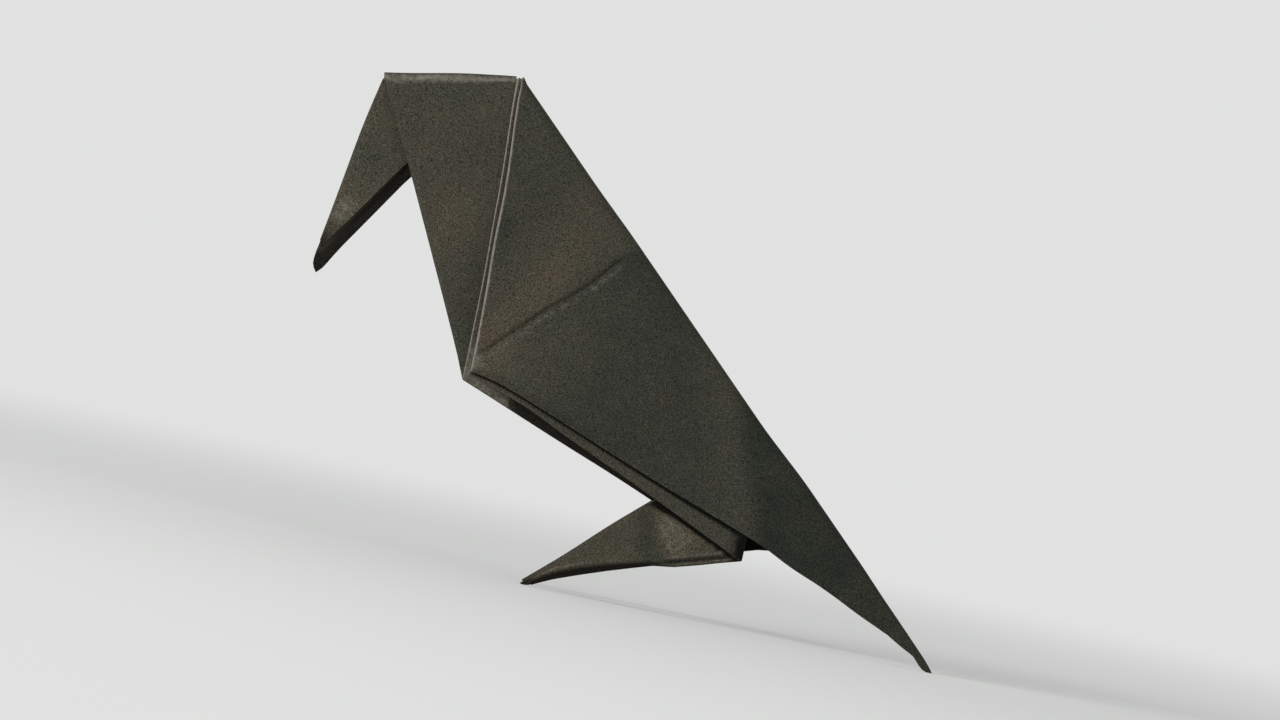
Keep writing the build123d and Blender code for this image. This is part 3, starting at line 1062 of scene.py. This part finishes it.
# From cool through plain to warm by how browned the paper is and how lit it is painted, partly painted
# light and shade; dark where painted shade is set, pale where rubbed or where a highlight is painted
def paper_material(name, cool, plain, warm, shade_colour):
    made = bpy.data.materials.new(name)
    made.use_nodes = True
    tree = made.node_tree
    tree.nodes.clear()
    where = Value(tree, node(tree, "ShaderNodeTexCoord").outputs["Object"])
    rub_or_lit, shade_mask, browned_or_lit = (mark_value(tree, mark) for mark in marks)
    cloud = noise(tree, where, 110.0, 3.0, 0.6)
    tinge = noise(tree, where, 190.0, 3.0, 0.65)
    blotch = noise(tree, where, 380.0, 3.0, 0.6)
    fibre = noise(tree, where, 1300.0, 2.0, 0.6)
    fleck = noise(tree, where, 4600.0, 1.0, 0.5)
    grain = noise(tree, where, 6200.0, 2.0, 0.7)
    shade = browned_or_lit + (cloud - 0.5) * 0.32 + (blotch - 0.5) * 0.35
    colour = mix(tree, shade * (1 / plain_at), cool, plain)
    colour = mix(tree, (shade - plain_at) * (1 / (1 - plain_at)), colour, warm)
    # Painted shade: the colour goes to the dark shade colour where the painted-shade mark is set
    colour = mix(tree, shade_mask * 0.98, colour, shade_colour)
    tint = mix(tree, ramp(tree, tinge, 0.36, 0.64), greener, redder)
    colour = mix(tree, 1.0, colour, tint, "MULTIPLY")
    speck = mix(tree, ramp(tree, grain, 0.34, 0.66), dark_grain, light_grain)
    colour = mix(tree, 1.0, colour, speck, "MULTIPLY")
    colour = mix(tree, ramp(tree, fleck, 0.66, 0.8) * (1 - shade_mask) * 0.1, colour, pale_fibre_or_lit)
    # Pale where a fold is rubbed, and where a highlight is painted
    broken_or_lit = ramp(tree, rub_or_lit + (fibre - 0.5) * 0.7 + (grain - 0.5) * 0.4, 0.2, 0.95)
    colour = mix(tree, broken_or_lit * (1 - shade_mask * 0.8), colour, pale_fibre_or_lit)
    height = grain * 0.5 + fibre * 0.5 + blotch * 0.4
    bump = node(
        tree,
        "ShaderNodeBump",
        values={"Strength": 0.35, "Distance": grain_depth, "Height": height},
    )
    surface = node(
        tree,
        "ShaderNodeBsdfPrincipled",
        values={
            "Base Color": colour,
            "Roughness": matt_paper + (blotch - 0.5) * 0.3,
            "Specular IOR Level": 0.08,
            "Normal": Value(tree, bump.outputs[0]),
        },
    )
    out = node(tree, "ShaderNodeOutputMaterial")
    tree.links.new(surface.outputs[0], out.inputs[0])
    return made


# The cool and warm tones are also darker and lighter copies of the paper, used as painted shade and painted
# light
face = paper_material(
    "black_paper",
    (0.022, 0.0253, 0.0201, 1),
    (0.048, 0.0497, 0.0383, 1),
    (0.0805, 0.0695, 0.0505, 1),
    (0.003, 0.0026, 0.002, 1),
)
cut = paper_material(
    "cut_edge",
    (0.03, 0.031, 0.025, 1),
    (0.047, 0.045, 0.036, 1),
    (0.07, 0.064, 0.05, 1),
    (0.012, 0.011, 0.009, 1),
)
sheet.materials.clear()
sheet.materials.append(face)
sheet.materials.append(cut)
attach(crow, "root")
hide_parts("folded_sheet")

# Floor: a wide round ground of plain pale card, far larger than the crow, which only stands on it.
# It runs into the pale surround without a line.
floor_radius = 4.0
floor_sides = 64
ground_glow = (0.75, 0.76, 0.75, 1)
pale_card = (0.92, 0.93, 0.92, 1)
fade_from, fade_to = 0.04, 0.5
floor_mesh = bpy.data.meshes.new("floor")
angles = [2 * math.pi * k / floor_sides for k in range(floor_sides)]
ring = [(floor_radius * math.cos(a), floor_radius * math.sin(a), 0) for a in angles]
floor_mesh.from_pydata(ring, [], [list(range(floor_sides))])
floor = bpy.data.objects.new("floor", floor_mesh)
bpy.context.scene.collection.objects.link(floor)


def seen_rays(tree):
    rays = node(tree, "ShaderNodeLightPath")
    return Value(tree, rays.outputs["Is Camera Ray"]) + Value(tree, rays.outputs["Is Glossy Ray"])


ground = bpy.data.materials.new("pale_ground")
ground.use_nodes = True
tree = ground.node_tree
tree.nodes.clear()
where = Value(tree, node(tree, "ShaderNodeTexCoord").outputs["Object"])
reach = Value(tree, node(tree, "ShaderNodeVectorMath", {"operation": "LENGTH"}, [where]).outputs["Value"])
matt = node(tree, "ShaderNodeBsdfPrincipled", values={"Base Color": pale_card, "Roughness": 0.9})
glow = node(tree, "ShaderNodeEmission", values={"Color": ground_glow, "Strength": 1.0})
faded = seen_rays(tree) * (0.3 + 0.7 * ramp(tree, reach, fade_from, fade_to))
blend = node(tree, "ShaderNodeMixShader", values=[faded])
tree.links.new(matt.outputs[0], blend.inputs[1])
tree.links.new(glow.outputs[0], blend.inputs[2])
out = node(tree, "ShaderNodeOutputMaterial")
tree.links.new(blend.outputs[0], out.inputs[0])
floor_mesh.materials.append(ground)

# Light: a soft key lamp from the front left and above, a weak fill lamp from the right, both aimed at the
# middle of the crow, and an even pale surround.
aim = Vector((0.0, 0.0, 0.035))
surround_light = 0.45
world = bpy.data.worlds.new("surround")
bpy.context.scene.world = world
world.use_nodes = True
tree = world.node_tree
tree.nodes.clear()
strength = surround_light + seen_rays(tree) * (1 - surround_light)
sky = node(tree, "ShaderNodeBackground", values={"Color": ground_glow, "Strength": strength})
out = node(tree, "ShaderNodeOutputWorld")
tree.links.new(sky.outputs[0], out.inputs[0])


def lamp(name, spot, size, power):
    made = bpy.data.lights.new(name, "AREA")
    made.size = size
    made.energy = power
    holder = bpy.data.objects.new(name, made)
    holder.location = spot
    holder.rotation_mode = "QUATERNION"
    holder.rotation_quaternion = (aim - Vector(spot)).to_track_quat("-Z", "Y")
    bpy.context.scene.collection.objects.link(holder)


lamp("key", (-0.6, -0.42, 0.3), 0.25, 3.4)
lamp("fill", (0.4, -0.5, 0.3), 0.5, 0.6)

# Camera: a long lens, far off and level with the crow's side. It is rolled, so that the crow leans back
# and the ground slopes.
roll = math.radians(12.5)
stand = (-0.001, -0.9, 0.0355)
camera = bpy.data.objects.new("camera", bpy.data.cameras.new("camera"))
camera.data.lens = 173.2
camera.data.sensor_width = 36.0
camera.data.clip_start = 0.01
right = Vector((math.cos(roll), 0, math.sin(roll)))
up = Vector((-math.sin(roll), 0, math.cos(roll)))
turn = Matrix((right, up, Vector((0, -1, 0)))).transposed().to_4x4()
camera.matrix_world = Matrix.Translation(stand) @ turn
bpy.context.scene.collection.objects.link(camera)
bpy.context.scene.camera = camera
bpy.context.scene.view_settings.view_transform = "Standard"
